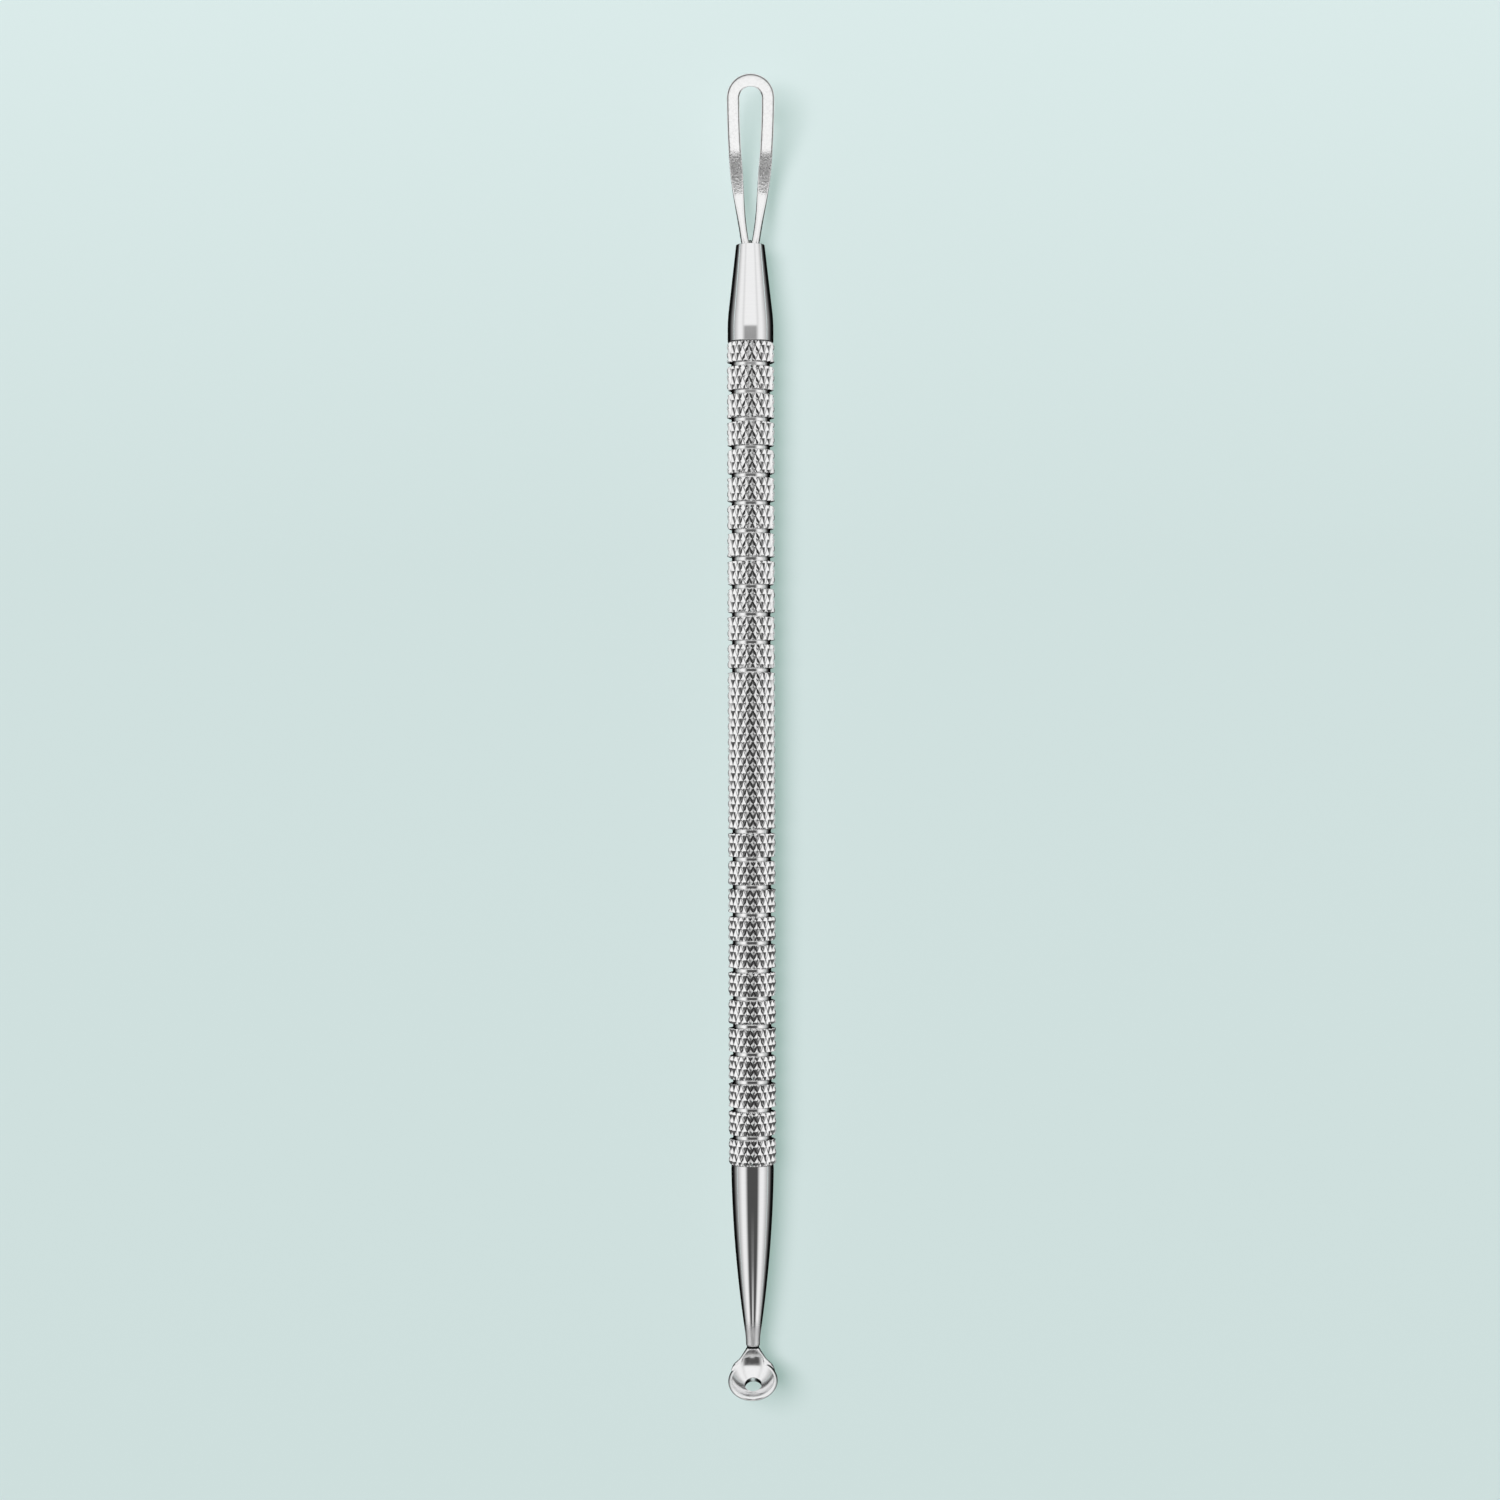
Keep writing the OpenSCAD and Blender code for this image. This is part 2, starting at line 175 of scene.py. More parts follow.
class Nodes:
    """Short names for the nodes of one material, or of the world."""

    def __init__(self, name, world=None):
        self.material = world or bpy.data.materials.new(name)
        self.material.use_nodes = True
        self.tree = self.material.node_tree
        self.shader = self.tree.nodes["Background" if world else "Principled BSDF"]

    def add(self, kind, **settings):
        node = self.tree.nodes.new(kind)
        for key, value in settings.items():
            setattr(node, key, value)
        return node

    def link(self, source, target):
        self.tree.links.new(source, target)

    def feed(self, value, target):
        """Gives a socket a number, a colour or what comes out of another socket."""
        if isinstance(value, bpy.types.NodeSocket):
            self.link(value, target)
        elif isinstance(value, tuple):
            target.default_value = (*value, 1)
        else:
            target.default_value = value

    def maths(self, operation, *values):
        node = self.add("ShaderNodeMath", operation=operation)
        for value, socket in zip(values, node.inputs):
            self.feed(value, socket)
        return node.outputs[0]

    def mix(self, factor, first, second, blend_type="MIX"):
        """Colour made from two, each of them a colour or a socket."""
        node = self.add("ShaderNodeMix", data_type="RGBA", blend_type=blend_type)
        for name, value in (("Factor", factor), ("A", first), ("B", second)):
            self.feed(value, node.inputs[name])
        return node.outputs["Result"]

    def show(self, shader):
        """Makes a shader the material's surface, in place of the one it came with."""
        self.tree.nodes.remove(self.shader)
        self.link(shader, self.tree.nodes["Material Output"].inputs["Surface"])

    def position(self, scale):
        """Place in the frame, in millimetres times scale for each axis."""
        coordinates = self.add("ShaderNodeTexCoord")
        mapping = self.add("ShaderNodeMapping")
        mapping.inputs["Scale"].default_value = [s / MM for s in scale]
        self.link(coordinates.outputs["Object"], mapping.inputs["Vector"])
        return mapping.outputs["Vector"]

    def axes(self):
        """X, Y and Z in the frame, in millimetres."""
        place = self.add("ShaderNodeSeparateXYZ")
        self.link(self.position((1, 1, 1)), place.inputs[0])
        return place.outputs

    def noise(self, scale, detail=3.0):
        node = self.add("ShaderNodeTexNoise")
        node.inputs["Scale"].default_value = 1.0
        node.inputs["Detail"].default_value = detail
        self.link(self.position(scale), node.inputs["Vector"])
        return node.outputs["Fac"]

    def spread(self, factor, low, high, start=0.0, end=1.0):
        """Number that runs from low to high while factor runs from start to end."""
        node = self.add("ShaderNodeMapRange")
        self.link(factor, node.inputs["Value"])
        node.inputs["From Min"].default_value = start
        node.inputs["From Max"].default_value = end
        node.inputs["To Min"].default_value = low
        node.inputs["To Max"].default_value = high
        return node.outputs["Result"]

    def bump(self, height, strength, distance):
        node = self.add("ShaderNodeBump")
        self.feed(strength, node.inputs["Strength"])
        node.inputs["Distance"].default_value = distance * MM
        self.link(height, node.inputs["Height"])
        self.link(node.outputs["Normal"], self.shader.inputs["Normal"])


# Noise values between which a steel's roughness runs, and the strength of its relief where
# nothing has worn it
NOISE_SPAN = (0.3, 0.7)
PLAIN_STRENGTH = 0.5
# Painted shade in the knurl's valleys: how far it reaches above the valleys, how far below them
# it starts and is full, and its grey level
PAINTED_VALLEY_REACH = 0.07
PAINTED_VALLEY_BELOW = (0.1, 0.06)
PAINTED_VALLEY_SHADE = 0.30
# Places along Y between which the filler metal goes from painted shade to bright, and the shade's level
PAINTED_SEAM_FADE = (-40, 40)
PAINTED_SEAM_SHADE = 0.02


def steel(name, dark, light, rough, marks, relief, worn=None):
    """Steel whose colour and roughness vary with marks, a noise scale along X, Y and Z.

    worn is a stretch along Y: its middle, its half length, of which the outer half fades, how
    much rougher it is, and its relief.
    """
    nodes = Nodes(name)
    nodes.shader.inputs["Metallic"].default_value = 1.0
    pattern = nodes.noise(marks)
    nodes.link(nodes.mix(pattern, dark, light), nodes.shader.inputs["Base Color"])
    roughness = nodes.spread(pattern, *rough, *NOISE_SPAN)
    strength = PLAIN_STRENGTH
    if worn:
        distance = nodes.maths("ABSOLUTE", nodes.maths("SUBTRACT", nodes.axes()["Y"], worn["middle"]))
        near = nodes.spread(distance, 1, 0, 0.5 * worn["half"], worn["half"])
        roughness = nodes.maths("ADD", roughness, nodes.maths("MULTIPLY", near, worn["rougher"]))
        strength = nodes.spread(near, PLAIN_STRENGTH * relief / worn["relief"], 1.0)
        relief = worn["relief"]
    nodes.link(roughness, nodes.shader.inputs["Roughness"])
    nodes.bump(pattern, strength, relief)
    return nodes


def darken(nodes, amount, shade):
    """Mixes a grey over the steel's own colour by an amount from 0 to 1."""
    colour = nodes.shader.inputs["Base Color"]
    own = colour.links[0].from_socket
    nodes.link(nodes.mix(amount, own, grey(shade)), colour)


def knurled_steel():
    """Bright crests, and painted shade in the valleys between them."""
    nodes = steel(
        "knurled_steel",
        dark=grey(0.94),
        light=grey(0.99),
        rough=(0.03, 0.09),
        marks=(9, 9, 9),
        relief=0.001,
    )
    place = nodes.axes()
    height = nodes.maths("SUBTRACT", place["Z"], AXIS_Z)
    squares = [nodes.maths("MULTIPLY", side, side) for side in (place["X"], height)]
    radius = nodes.maths("SQRT", nodes.maths("ADD", *squares))
    valley = nodes.spread(radius, 1, 0, VALLEY_R, VALLEY_R + PAINTED_VALLEY_REACH)
    start, full = (VALLEY_R - below for below in PAINTED_VALLEY_BELOW)
    above_groove = nodes.spread(radius, 0, 1, start, full)
    # Painted shade: the steel's colour is darkened in the valleys, where shade falls
    darken(nodes, nodes.maths("MULTIPLY", valley, above_groove), PAINTED_VALLEY_SHADE)
    return nodes.material


def polished_steel():
    """Polished, and duller by the joint with the spoon."""
    nodes = steel(
        "polished_steel",
        dark=(0.86, 0.86, 0.87),
        light=grey(0.93),
        rough=(0.02, 0.07),
        marks=(0.6, 22, 0.6),
        relief=0.0006,
        worn=dict(middle=-61.0, half=3.2, rougher=0.40, relief=0.003),
    )
    return nodes.material


def satin_steel():
    """Smooth, and grainy where the strip is bent."""
    nodes = steel(
        "satin_steel",
        dark=grey(0.92),
        light=grey(0.97),
        rough=(0.08, 0.18),
        marks=(5, 5, 5),
        relief=0.004,
        worn=dict(middle=56.4, half=2.3, rougher=0.17, relief=0.07),
    )
    return nodes.material


def spoon_steel():
    nodes = steel(
        "spoon_steel",
        dark=(0.88, 0.88, 0.89),
        light=grey(0.95),
        rough=(0.12, 0.20),
        marks=(4, 4, 4),
        relief=0.002,
    )
    return nodes.material


def filler_metal():
    """Bright at the loop, and darkened with painted shade in the seam at the spoon."""
    nodes = steel(
        "filler_metal",
        dark=(0.74, 0.74, 0.72),
        light=(0.88, 0.88, 0.86),
        rough=(0.20, 0.40),
        marks=(6, 6, 6),
        relief=0.006,
    )
    # Painted shade: the filler's colour is darkened towards the spoon and stands in for the shade in the
    # seam's crease
    darken(nodes, nodes.spread(nodes.axes()["Y"], 1, 0, *PAINTED_SEAM_FADE), PAINTED_SEAM_SHADE)
    return nodes.material


# Handle bar: a lattice of diamonds with turned ring grooves

GROOVE_COUNT = 12
GROOVE_PITCH = 2.774
LOOP_END_MARGIN = 2.3
SPOON_END_MARGIN = 2.82
KNURL_ROW = 0.774
KNURL_STEPS = 6
KNURL_PHASE = -0.53
COLUMNS = 40
CREST_R = 2.37
VALLEY_R = 2.105
CREST_FLAT = 1 / 6
BORE_R = 1.42
BORE_DEPTH = 7.3
KNURL_CHAMFER = 0.2
CHAMFER_DROP = 0.03
LINE_MARGIN = 0.02
# Half widths of a groove and the radii there
GROOVE_PROFILE = [(0.27, 2.375), (0.17, 1.97), (0.15, 1.935), (0.13, 1.925)]


def groove_places():
    low = [-BAR_END + SPOON_END_MARGIN + k * GROOVE_PITCH for k in range(GROOVE_COUNT)]
    high = [BAR_END - LOOP_END_MARGIN - k * GROOVE_PITCH for k in range(GROOVE_COUNT)]
    return sorted(low + high)


def knurl_radius(column, row):
    """Radius at a place counted in columns and rows; crests lie where both are even or odd."""
    du = np.abs(column - np.round(column))
    dv = np.abs(row - np.round(row))
    even = (np.round(column) + np.round(row)) % 2 == 0
    from_crest = np.where(even, du + dv, 1 - np.abs(du - dv))
    flank = np.clip((from_crest - CREST_FLAT) / (1 - CREST_FLAT), 0, 1)
    return CREST_R + (VALLEY_R - CREST_R) * flank


def cut_limit(y, grooves):
    """Largest radius that grooves and end chamfers leave at y."""
    widths = [w for w, _ in GROOVE_PROFILE]
    radii = [r for _, r in GROOVE_PROFILE]
    nearest = min(abs(y - g) for g in grooves)
    no_limit = GRIP_R + 1
    limit = np.interp(nearest, widths[::-1], radii[::-1], right=no_limit)
    end = BAR_END - abs(y)
    rise = end * (GRIP_R - VALLEY_R + CHAMFER_DROP) / KNURL_CHAMFER
    return min(limit, VALLEY_R - CHAMFER_DROP + rise)


def bar_lines(grooves):
    """Places along Y of the mesh's rings: the knurl's, then those of grooves and chamfers."""
    step = KNURL_ROW / KNURL_STEPS
    lines = []
    count = int(BAR_END / step) + 2
    for k in range(-count, count + 1):
        y = (k + KNURL_PHASE * KNURL_STEPS) * step
        inside = min(abs(y - g) for g in grooves) < GROOVE_PROFILE[0][0] + LINE_MARGIN
        if abs(y) < BAR_END - KNURL_CHAMFER - LINE_MARGIN and not inside:
            lines.append(y)
    wall_mid = 0.5 * (GROOVE_PROFILE[0][0] + GROOVE_PROFILE[1][0])
    for g in grooves:
        for w in [w for w, _ in GROOVE_PROFILE] + [wall_mid, 0.0]:
            lines += [g - w, g + w]
    for end in (0.0, 0.5 * KNURL_CHAMFER, KNURL_CHAMFER):
        lines += [-BAR_END + end, BAR_END - end]
    return sorted(set(round(y, 5) for y in lines))


def make_grip(material):
    grooves = groove_places()
    lines = bar_lines(grooves)
    sides = COLUMNS * KNURL_STEPS
    column = np.arange(sides) / KNURL_STEPS
    angle = np.radians((column + 0.5) * COLUMN_ANGLE)
    rings = []
    for y in lines:
        row = y / KNURL_ROW - KNURL_PHASE
        radius = np.minimum(knurl_radius(column, row), cut_limit(y, grooves))
        rings.append((y, radius))
    for y in (BAR_END, BAR_END - BORE_DEPTH):
        rings.append((y, np.full(sides, BORE_R)))
    for y in (-BAR_END, -BAR_END + BORE_DEPTH):
        rings.insert(0, (y, np.full(sides, BORE_R)))
    vertices = np.concatenate(
        [
            np.stack([radius * np.cos(angle), np.full(sides, y), radius * np.sin(angle)], axis=1)
            for y, radius in rings
        ]
    )
    faces = []
    for i in range(len(rings) - 1):
        middle_row = 0.5 * (rings[i][0] + rings[i + 1][0]) / KNURL_ROW - KNURL_PHASE
        for k in range(sides):
            n = (k + 1) % sides
            a, b = i * sides + k, i * sides + n
            c, d = (i + 1) * sides + n, (i + 1) * sides + k
            middle_column = (k + 0.5) / KNURL_STEPS
            same_sign = (middle_column - round(middle_column)) * (middle_row - round(middle_row)) > 0
            near_crest = (round(middle_column) + round(middle_row)) % 2 == 0
            # Split along the crest's edge near a crest, and along the valley elsewhere
            if same_sign == near_crest:
                faces += [(a, d, b), (b, d, c)]
            else:
                faces += [(a, c, b), (a, d, c)]
    faces += end_faces(len(rings), sides)
    mesh = solid_mesh("knurled_bar", [to_frame(v) for v in vertices.tolist()], faces)
    return finish_piece("knurled_bar", mesh, ["grip"], material, sharp=14)


# Ferrules

SPIGOT_R = 1.4
SPIGOT_LEN = 7.0
SHOULDER_EDGE = 0.03


def make_loop_ferrule(material):
    """A short straight stretch, an arc that narrows, and a straight cone to the mouth."""
    step = 0.085
    straight = 1.2
    blend_r = 17.0
    mouth_r = 1.43
    lip = 0.07
    socket_r = 0.9
    socket_lip = 0.06
    socket_depth = 4.8
    base_r = GRIP_R - step
    length = MOUTH_Y - BAR_END
    centre = (base_r - blend_r, straight)
    to_mouth = (mouth_r - centre[0], length - centre[1])
    far = math.hypot(*to_mouth)
    turn = math.degrees(math.atan2(to_mouth[1], to_mouth[0]) - math.acos(blend_r / far))
    outline = [
        (0, -SPIGOT_LEN),
        (SPIGOT_R, -SPIGOT_LEN),
        (SPIGOT_R, 0),
        (base_r - SHOULDER_EDGE, 0),
        (base_r, SHOULDER_EDGE),
        *arc(centre, blend_r, 0, turn, 24),
        *arc((mouth_r - lip, length - lip), lip, turn, 90, 10),
        *arc((socket_r + socket_lip, length - socket_lip), socket_lip, 90, 180, 6),
        (socket_r, length - socket_depth),
        (0, length - socket_depth),
    ]
    mesh = turned_mesh("loop_cone", outline, towards_loop(BAR_END))
    return finish_piece("loop_cone", mesh, ["loop_ferrule"], material)


def make_spoon_ferrule(material):
    """An ogive, which would reach the tip's radius early, and a fillet from it to the tip."""
    step = 0.245
    ogive = 125.0
    early = 0.87
    fillet = 8.0
    tip_r = 0.7
    tip_round = 0.22
    shank_r = 0.42
    shank_depth = 5.3
    base_r = GRIP_R - step
    length = SPOON_FERRULE_LEN
    chord = (length - early, base_r - tip_r)
    start = math.atan2(chord[1], chord[0]) - math.asin(math.hypot(*chord) / (2 * ogive))
    centre = (base_r - ogive * math.cos(start), -ogive * math.sin(start))
    fillet_r = tip_r + fillet
    reach = math.sqrt((ogive + fillet) ** 2 - (fillet_r - centre[0]) ** 2)
    stop = math.degrees(math.atan2(reach, fillet_r - centre[0]))
    to_tip = arc((fillet_r, centre[1] + reach), fillet, 180 + stop, 180, 12)[1:]
    outline = [
        (0, -SPIGOT_LEN),
        (SPIGOT_R, -SPIGOT_LEN),
        (SPIGOT_R, 0),
        (base_r - SHOULDER_EDGE, 0),
        *arc(centre, ogive, math.degrees(start), stop, 40)[1:],
        *[p for p in to_tip if p[1] < length - tip_round],
        *arc((tip_r - tip_round, length - tip_round), tip_round, 0, 90, 8),
        (shank_r, length),
        (shank_r, length - shank_depth),
        (0, length - shank_depth),
    ]
    mesh = turned_mesh("spoon_cone", outline, towards_spoon(-BAR_END))
    return finish_piece("spoon_cone", mesh, ["spoon_ferrule"], material)


# Wire loop

WIRE_R = 0.39
STRIP_W = 1.28
STRIP_T = 0.38
HEAD_R = 1.73
HEAD_SHIFT = 0.08
# The legs at the mouth, how they part from there, and their depth in the socket
LEG_X = 0.49
LEG_FLARE = 0.165
LEG_IN = 4.5
PARTING_DEPTH = 1.56
HALF_GAP_IN = 0.02
# Distances between which round wire becomes flat strip, and how square the strip is
FLAT_FROM = 1.2
FLAT_TO = 8.0
SQUARENESS = 0.72
# Length and turn upwards of each stretch out of the mouth, and where the round head starts
STRETCHES = [(1.2, -5.0), (2.8, 0.0), (5.2, 26.75), (7.90, 0.0)]
HEAD_S = sum(length for length, _ in STRETCHES) - STRIP_W / 2 - HEAD_R


def side_at(s):
    """Place along Y, height and slope of the strip at distance s out of the mouth."""
    y, z, a = 0.0, 0.0, 0.0
    if s <= 0:
        return s, 0.0, 0.0
    for length, turn in STRETCHES:
        part = min(s, length)
        bent = turn * part / length
        if turn:
            r = length * 180 / (math.pi * turn)
            y += r * (math.sin(math.radians(a + bent)) - math.sin(math.radians(a)))
            z += r * (math.cos(math.radians(a)) - math.cos(math.radians(a + bent)))
        else:
            y += part * math.cos(math.radians(a))
            z += part * math.sin(math.radians(a))
        a += bent
        s -= part
        if s <= 0:
            break
    return y, z, a


def spread_at(s):
    """Distance of the strip's middle from the tool's line."""
    if s < 0:
        return max(LEG_X + LEG_FLARE * s, WIRE_R + HALF_GAP_IN)
    t = s / HEAD_S
    return (
        (2 * t**3 - 3 * t**2 + 1) * LEG_X
        + (t**3 - 2 * t**2 + t) * LEG_FLARE * HEAD_S
        + (3 * t**2 - 2 * t**3) * HEAD_R
    )


def flatness_at(s):
    """From 0, round wire, to 1, flat strip."""
    t = min(1.0, max(0.0, (s - FLAT_FROM) / (FLAT_TO - FLAT_FROM)))
    return t * t * (3 - 2 * t)


def loop_stations(leg_steps=70, head_steps=56):
    """Place across, distance s and direction of each section, from one leg's end to the other's."""
    legs = [(spread_at(-depth), -depth, 0.0) for depth in (LEG_IN, PARTING_DEPTH)]
    step = 0.01
    for i in range(leg_steps):
        s = HEAD_S * i / leg_steps
        slope = (spread_at(s + step) - spread_at(s - step)) / (2 * step)
        legs.append((spread_at(s), s, slope))
    stations = [(-x, s, -slope, 1) for x, s, slope in legs]
    for i in range(head_steps + 1):
        a = math.radians(180 - 180 * i / head_steps)
        stations.append((HEAD_R * math.cos(a), HEAD_S + HEAD_R * math.sin(a), math.sin(a), -math.cos(a)))
    stations += [(x, s, -slope, -1) for x, s, slope in reversed(legs)]
    return stations


def make_wire_loop(material, sides=32):
    vertices = []
    for x, s, dx, ds in loop_stations():
        y, z, a = side_at(s)
        slope = math.radians(a)
        flat = flatness_at(s)
        size = math.hypot(dx, ds)
        dx, ds = dx / size, ds / size
        power = 1 - SQUARENESS * flat
        lean = HEAD_SHIFT * min(1.0, max(0.0, s / HEAD_S))
        half_w = WIRE_R + (STRIP_W / 2 - WIRE_R) * flat
        half_t = WIRE_R + (STRIP_T / 2 - WIRE_R) * flat
        for k in range(sides):
            wide, thick = ring_point(k, sides, power)
            across = half_w * wide
            up = half_t * thick
            along = -across * dx
            place = (
                x + lean + across * ds,
                MOUTH_Y + y + along * math.cos(slope) - up * math.sin(slope),
                z + along * math.sin(slope) + up * math.cos(slope),
            )
            vertices.append(to_frame(place))
    mesh = lofted_mesh("flat_wire_loop", vertices, sides)
    return finish_piece("flat_wire_loop", mesh, ["wire_loop"], material, sharp=45)


# Filler metal at the two joints: radius and distance out of the ferrule

LOOP_FILLET = [
    (0, -0.2),
    (0.88, -0.2),
    (0.88, 0.0),
    (0.74, 0.05),
    (0.5, 0.16),
    (0.26, 0.34),
    (0.1, 0.48),
    (0, 0.52),
]
SEAM_RING = [
    (0.42, 0),
    (0.62, 0),
    (0.60, 0.09),
    (0.62, 0.18),
    (0.42, 0.18),
    (0.42, 0),
]


def make_loop_filler(material):
    mesh = turned_mesh("loop_filler", LOOP_FILLET, towards_loop(MOUTH_Y), sides=64)
    return finish_piece("loop_filler", mesh, ["loop_braze"], material, sharp=60)


def make_spoon_filler(material):
    mesh = turned_mesh("spoon_filler", SEAM_RING, towards_spoon(TIP_Y), sides=64)
    return finish_piece("spoon_filler", mesh, ["spoon_braze"], material, sharp=60)


# Spoon, made in millimetres and scaled at the end

RIM_R = 2.46
BOWL_R = 2.1
BOWL_DEPTH = 0.88
BOWL_WALL = 0.64
HOLE_R = 0.83
HOLE_REACH = 3
# The cup's rounded lip, and how many of its radii below the rim the sphere ends
CUP_LIP = 0.2
LIP_DROP = 2.2
BOWL_TILT = 50.0
BOWL_TURN = 3.0
BOWL_PAST_RIM = 11.5
BOWL_FLARE = 9.0
BOWL_CUT_TOP = 1.9
BOWL_X = -0.006
BOWL_Y = TIP_Y - 3.01
BOWL_Z = 1.53
SEAM_T = 0.12


def cap_radius(r, h):
    """Radius of the sphere whose cap has rim radius r and height h."""
    return (r * r + h * h) / (2 * h)


def on_bowl(point):
    """Place about the bar's middle of a point given from the centre of the rim."""
    x, y, z = point
    a = math.radians(-BOWL_TILT)
    turn = math.radians(BOWL_TURN)
    y, z = y * math.cos(a) - z * math.sin(a), y * math.sin(a) + z * math.cos(a)
    x, z = x * math.cos(turn) - z * math.sin(turn), x * math.sin(turn) + z * math.cos(turn)
    return (BOWL_X + x, BOWL_Y + y, BOWL_Z + z)


def apply_modifiers(piece, name):
    mesh = bpy.data.meshes.new_from_object(piece.evaluated_get(bpy.context.evaluated_depsgraph_get()))
    mesh.name = name
    return mesh


def combined(first, second, operation):
    """Object made of two solids joined or cut. Both of them go."""
    change = first.modifiers.new("combine", "BOOLEAN")
    change.object = second
    change.operation = operation
    change.solver = "EXACT"
    mesh = apply_modifiers(first, "combined")
    for piece in (first, second):
        bpy.data.objects.remove(piece)
    return add_object("combined", mesh)


def neck_mesh():
    """Loft from the seam into the cup's wall.

    Each section has its distance from the cone's tip, its top and how the top rises to the
    sides, the same for its bottom, its half width, and how square it is (1 is an ellipse).
    """
    sections = [
        (SEAM_T, 0.42, 0.00, -0.44, 0.00, 0.60, 0.90),
        (0.20, 0.48, 0.00, -0.48, 0.00, 0.68, 0.85),
        (0.40, 0.50, -0.05, -0.50, 0.05, 0.78, 0.80),
        (0.79, 0.45, -0.15, -0.50, 0.08, 1.03, 0.75),
        (1.05, 0.40, -0.16, -0.50, 0.08, 1.18, 0.70),
        (1.33, 0.33, -0.17, -0.50, 0.06, 1.38, 0.60),
        (1.55, 0.28, -0.12, -0.48, 0.05, 1.63, 0.50),
        (1.79, 0.25, -0.05, -0.45, 0.06, 1.92, 0.40),
        (2.02, 0.25, 0.02, -0.38, 0.11, 2.07, 0.35),
        (2.30, 0.25, 0.087, -0.30, 0.15, 2.20, 0.35),
    ]
    sides = 64
    vertices = []
    for distance, top, top_rise, bottom, bottom_rise, half_w, square in sections:
        for k in range(sides):
            wide, tall = ring_point(k, sides, square)
            x = half_w * wide
            high, low = top + top_rise * x * x, bottom + bottom_rise * x * x
            share = 0.5 + 0.5 * tall
            vertices.append((x, TIP_Y - distance, low + (high - low) * share))
    return lofted_mesh("neck", vertices, sides)


def make_spoon(material):
    cup_depth = BOWL_DEPTH + BOWL_WALL
    cup_sphere = cap_radius(RIM_R, cup_depth)
    bowl_sphere = cap_radius(BOWL_R, BOWL_DEPTH)
    cup_angle = math.degrees(math.asin(RIM_R / cup_sphere))
    bowl_angle = math.degrees(math.asin(BOWL_R / bowl_sphere))
    outside = arc((0, cup_sphere - cup_depth), cup_sphere, -90, -90 + cup_angle, 40)
    cup = [p for p in outside if p[1] < -LIP_DROP * CUP_LIP]
    cup[0] = (0, cup[0][1])
    cup += arc((RIM_R - CUP_LIP, -CUP_LIP), CUP_LIP, -25, 90, 12)
    cup.append((0, 0))
    bowl = arc((0, bowl_sphere - BOWL_DEPTH), bowl_sphere, -90, -90 + bowl_angle + BOWL_PAST_RIM, 50)
    bowl[0] = (0, bowl[0][1])
    edge_r, edge_h = bowl[-1]
    flare = math.tan(math.radians(BOWL_FLARE))
    bowl += [(edge_r + (BOWL_CUT_TOP - edge_h) * flare, BOWL_CUT_TOP), (0, BOWL_CUT_TOP)]
    hole = [(0, -HOLE_REACH), (HOLE_R, -HOLE_REACH), (HOLE_R, HOLE_REACH), (0, HOLE_REACH)]
    solid = add_object("cup", turned_mesh("cup", cup, on_bowl, 160))
    solid = combined(solid, add_object("neck", neck_mesh()), "UNION")
    solid = combined(solid, add_object("bowl", turned_mesh("bowl", bowl, on_bowl, 160)), "DIFFERENCE")
    solid = combined(solid, add_object("hole", turned_mesh("hole", hole, on_bowl, 96)), "DIFFERENCE")
    even = solid.modifiers.new("even", "REMESH")
    even.mode = "VOXEL"
    even.voxel_size = 0.03
    soften = solid.modifiers.new("soften", "SMOOTH")
    soften.factor = 0.5
    soften.iterations = 5
    mesh = apply_modifiers(solid, "pierced_cup")
    bpy.data.objects.remove(solid)
    for vertex in mesh.vertices:
        vertex.co = to_frame(vertex.co)
    return finish_piece("pierced_cup", mesh, ["spoon"], material, sharp=80)


# Stage: floor, a flag that only reflections see, and lamps


def plane(name, corner, far_corner, z):
    mesh = bpy.data.meshes.new(name)
    x0, y0, x1, y1 = *corner, *far_corner
    mesh.from_pydata([(x0, y0, z), (x1, y0, z), (x1, y1, z), (x0, y1, z)], [], [(0, 1, 2, 3)])
    card = add_object(name, mesh)
    return card


def colour_ramp(nodes, value, low, high, stops):
    """Colour read from a list of values between low and high and their colours."""
    node = nodes.add("ShaderNodeValToRGB")
    elements = node.color_ramp.elements
    while len(elements) < len(stops):
        elements.new(0.5)
    for element, (at, colour) in zip(elements, stops):
        element.position = (at - low) / (high - low)
        element.color = (*colour, 1)
    nodes.link(nodes.spread(value, 0, 1, low, high), node.inputs["Fac"])
    return node.outputs["Color"]


def level_ramp(nodes, value, low, high, stops):
    """The same with grey levels."""
    return colour_ramp(nodes, value, low, high, [(at, grey(level)) for at, level in stops])


# The floor's half size and height in metres, its colours along Y, and the share of them that
# is left in full shadow
FLOOR_HALF = 3
FLOOR_Z = -0.00004
FLOOR_SPAN = 75
FLOOR_MIDDLE = (0.672, 0.790, 0.780)
FLOOR_COLOURS = [(-75, (0.656, 0.776, 0.764)), (18, FLOOR_MIDDLE), (75, (0.748, 0.872, 0.864))]
SHADOW_TINT = (0.50, 0.59, 0.55)


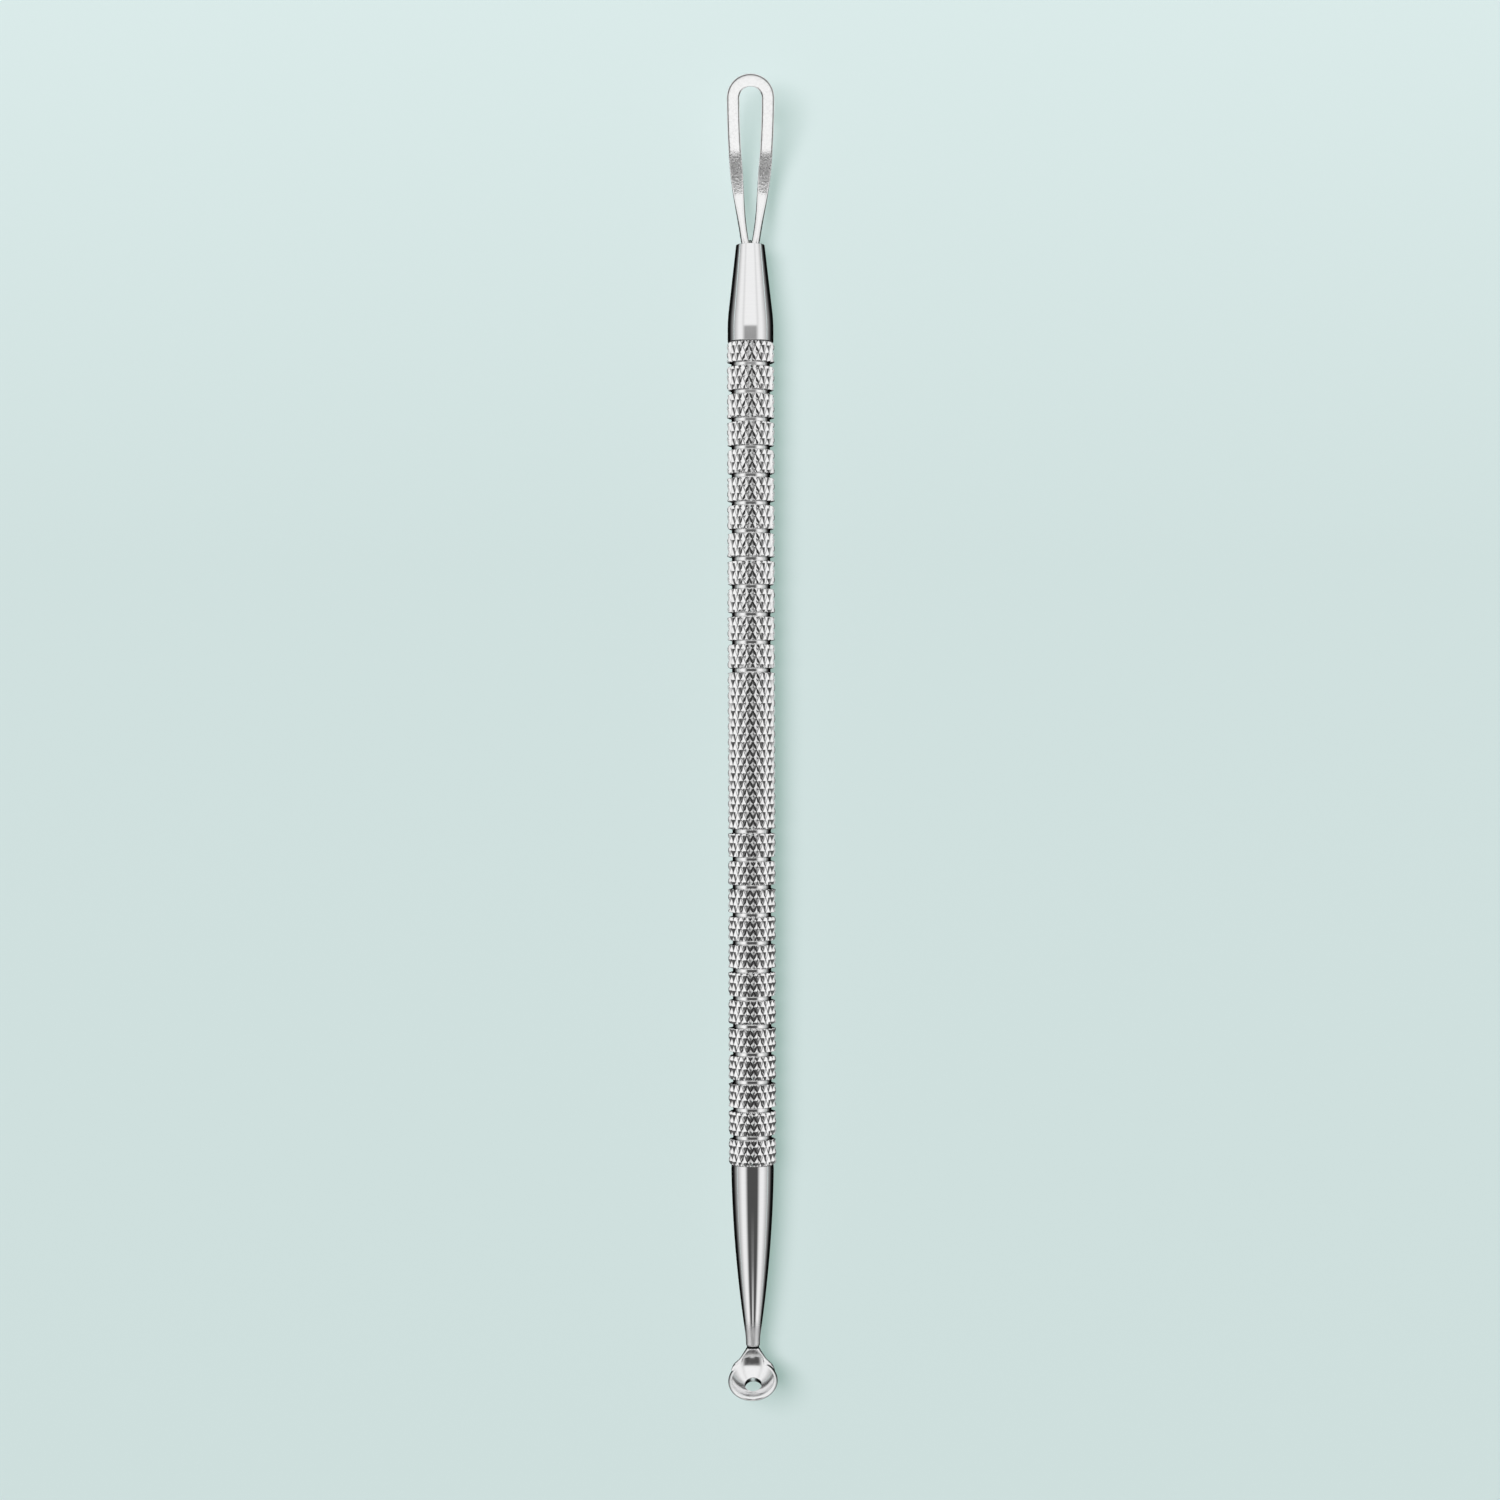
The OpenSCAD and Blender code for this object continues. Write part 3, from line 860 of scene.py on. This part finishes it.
def floor_material():
    """Pale floor: a steady share for the rays that see it, and a share that takes the shadow."""
    nodes = Nodes("floor")
    ground = colour_ramp(nodes, nodes.axes()["Y"], -FLOOR_SPAN, FLOOR_SPAN, FLOOR_COLOURS)
    steady = nodes.mix(1.0, ground, SHADOW_TINT, "MULTIPLY")
    lit = nodes.mix(1.0, ground, tuple(1 - t for t in SHADOW_TINT), "MULTIPLY")
    glow = nodes.add("ShaderNodeEmission")
    nodes.link(steady, glow.inputs["Color"])
    rays = nodes.add("ShaderNodeLightPath").outputs
    seen = nodes.maths("ADD", rays["Is Camera Ray"], rays["Is Glossy Ray"])
    seen = nodes.maths("ADD", seen, rays["Is Transmission Ray"])
    nodes.link(seen, glow.inputs["Strength"])
    matt = nodes.add("ShaderNodeBsdfDiffuse")
    nodes.link(lit, matt.inputs["Color"])
    both = nodes.add("ShaderNodeAddShader")
    nodes.link(glow.outputs[0], both.inputs[0])
    nodes.link(matt.outputs[0], both.inputs[1])
    nodes.show(both.outputs[0])
    return nodes.material


# The flag's height in metres, its half width and ends, and its brightness by the distance from
# the tool's line
FLAG_Z = -0.00002
FLAG_HALF = 60
FLAG_ENDS = (-100, 58)
FLAG_LIGHT = [(0, 0.0), (6.5, 0.006), (8.4, 0.05), (11.3, 0.14), (17, 0.27), (60, 0.40)]


def flag_material():
    """Dark by the tool and paler further out, seen only in reflections."""
    nodes = Nodes("flag")
    distance = nodes.maths("ABSOLUTE", nodes.axes()["X"])
    glow = nodes.add("ShaderNodeEmission")
    nodes.link(level_ramp(nodes, distance, 0, FLAG_HALF, FLAG_LIGHT), glow.inputs["Color"])
    nodes.show(glow.outputs[0])
    return nodes.material


def make_stage():
    floor = plane("floor", (-FLOOR_HALF, -FLOOR_HALF), (FLOOR_HALF, FLOOR_HALF), FLOOR_Z)
    floor.data.materials.append(floor_material())
    half = FLAG_HALF * MM
    near, far = (end * MM for end in FLAG_ENDS)
    flag = plane("flag", (-half, near), (half, far), FLAG_Z)
    flag.data.materials.append(flag_material())
    flag.visible_camera = False
    flag.visible_diffuse = False
    flag.visible_shadow = False
    flag.visible_transmission = False


# The lamp that throws the shadow: its width as an angle, and which way its light travels
KEY_STRENGTH = 3.05
KEY_ANGLE = 38
KEY_TRAVEL = (0.42, -0.16, -1)


def make_lamps():
    sun = bpy.data.lights.new("key", "SUN")
    sun.energy = KEY_STRENGTH
    sun.angle = math.radians(KEY_ANGLE)
    key = add_object("key", sun)
    key.rotation_euler = Vector(KEY_TRAVEL).to_track_quat("-Z", "Y").to_euler()
    key.visible_glossy = False


# Brightness of the studio by the angle from straight up. SIDE_LIGHT goes by the angle across
# the tool, and the rest by the angle along it, towards the loop. NORTH_LIGHT is the end that
# two of them share. SOUTH_SHADE dims SIDE_LIGHT, BAND_LIGHT takes its place over the tool, and
# GAP_LIGHT takes the place of both in the narrow middle of that. The two pairs below are the
# angles across between which the band and the gap fade out
SIDE_LIGHT = [(0, 0.74), (36, 0.74), (46, 0.93), (60, 0.93), (75, 0.68), (90, 0.44), (180, 0.30)]
NORTH_LIGHT = [(0, 0.08), (5, 0.12), (7, 0.28), (8.6, 0.40), (10, 0.95), (90, 0.95)]
BAND_LIGHT = [(-90, 0.50), (-55, 0.85), (-46, 0.70), (-42, 0.08)] + NORTH_LIGHT
GAP_LIGHT = [(-90, 0.50), (-60, 0.95), (-30, 1.00), (-25, 0.60), (-20, 0.20), (-14, 0.08)] + NORTH_LIGHT
SOUTH_SHADE = [(-90, 0.75), (-48, 0.95), (-44, 0.70), (-40, 0.14), (-32, 0.10), (-28, 1.00), (90, 1.00)]
BAND_HALF = (26, 39)
GAP_HALF = (6, 11)


def make_world():
    """The studio that metal reflects. The camera itself sees the floor's colour."""
    world = bpy.data.worlds.new("studio")
    bpy.context.scene.world = world
    nodes = Nodes("studio", world)
    direction = nodes.add("ShaderNodeSeparateXYZ")
    nodes.link(nodes.add("ShaderNodeTexCoord").outputs["Generated"], direction.inputs[0])
    x, y, z = (direction.outputs[axis] for axis in "XYZ")
    across = nodes.maths("DEGREES", nodes.maths("ARCTAN2", nodes.maths("ABSOLUTE", x), z))
    along = nodes.maths("DEGREES", nodes.maths("ARCSINE", y))
    side = level_ramp(nodes, across, 0, 180, SIDE_LIGHT)
    shade, band, gap = (
        level_ramp(nodes, along, -90, 90, stops) for stops in (SOUTH_SHADE, BAND_LIGHT, GAP_LIGHT)
    )
    light = nodes.mix(1.0, side, shade, "MULTIPLY")
    light = nodes.mix(nodes.spread(across, 1, 0, *BAND_HALF), light, band)
    light = nodes.mix(nodes.spread(across, 1, 0, *GAP_HALF), light, gap)
    camera_ray = nodes.add("ShaderNodeLightPath").outputs["Is Camera Ray"]
    nodes.link(nodes.mix(camera_ray, light, FLOOR_MIDDLE), nodes.shader.inputs["Color"])
    world.cycles_visibility.diffuse = False


# The camera's angle to the tool's right and its roll, the point it aims at, towards the spoon
# and the left of the frame's middle, and its distance in metres
CAMERA_SIDE = 0.5
CAMERA_ROLL = 0.14
AIM_TO_SPOON = 1.29
AIM_LEFT = 0.155
CAMERA_DISTANCE = 0.3


def make_camera():
    """Above the tool and a little to its right, rolled as the photograph is."""
    lens = bpy.data.cameras.new("camera")
    lens.lens = 72
    lens.sensor_width = 36
    lens.clip_start = 0.01
    lens.clip_end = 20
    camera = add_object("camera", lens)
    side = math.radians(CAMERA_SIDE)
    roll = math.radians(CAMERA_ROLL)
    back = Vector((math.sin(side), 0, math.cos(side)))
    right = Vector((math.cos(side), 0, -math.sin(side)))
    up = Vector((0, 1, 0))
    up, right = up * math.cos(roll) + right * math.sin(roll), right * math.cos(roll) - up * math.sin(roll)
    aim = Vector(to_frame((0, MIDDLE_Y - AIM_TO_SPOON, 0))) - right * AIM_LEFT * MM
    place = Matrix((right, up, back)).transposed().to_4x4()
    place.translation = aim + back * CAMERA_DISTANCE
    camera.matrix_world = place
    bpy.context.scene.camera = camera


polished = polished_steel()
filler = filler_metal()
make_grip(knurled_steel())
make_loop_ferrule(polished)
make_spoon_ferrule(polished)
make_wire_loop(satin_steel())
make_loop_filler(filler)
make_spoon(spoon_steel())
make_spoon_filler(filler)
make_stage()
make_lamps()
make_world()
make_camera()
bpy.context.scene.view_settings.view_transform = "Standard"
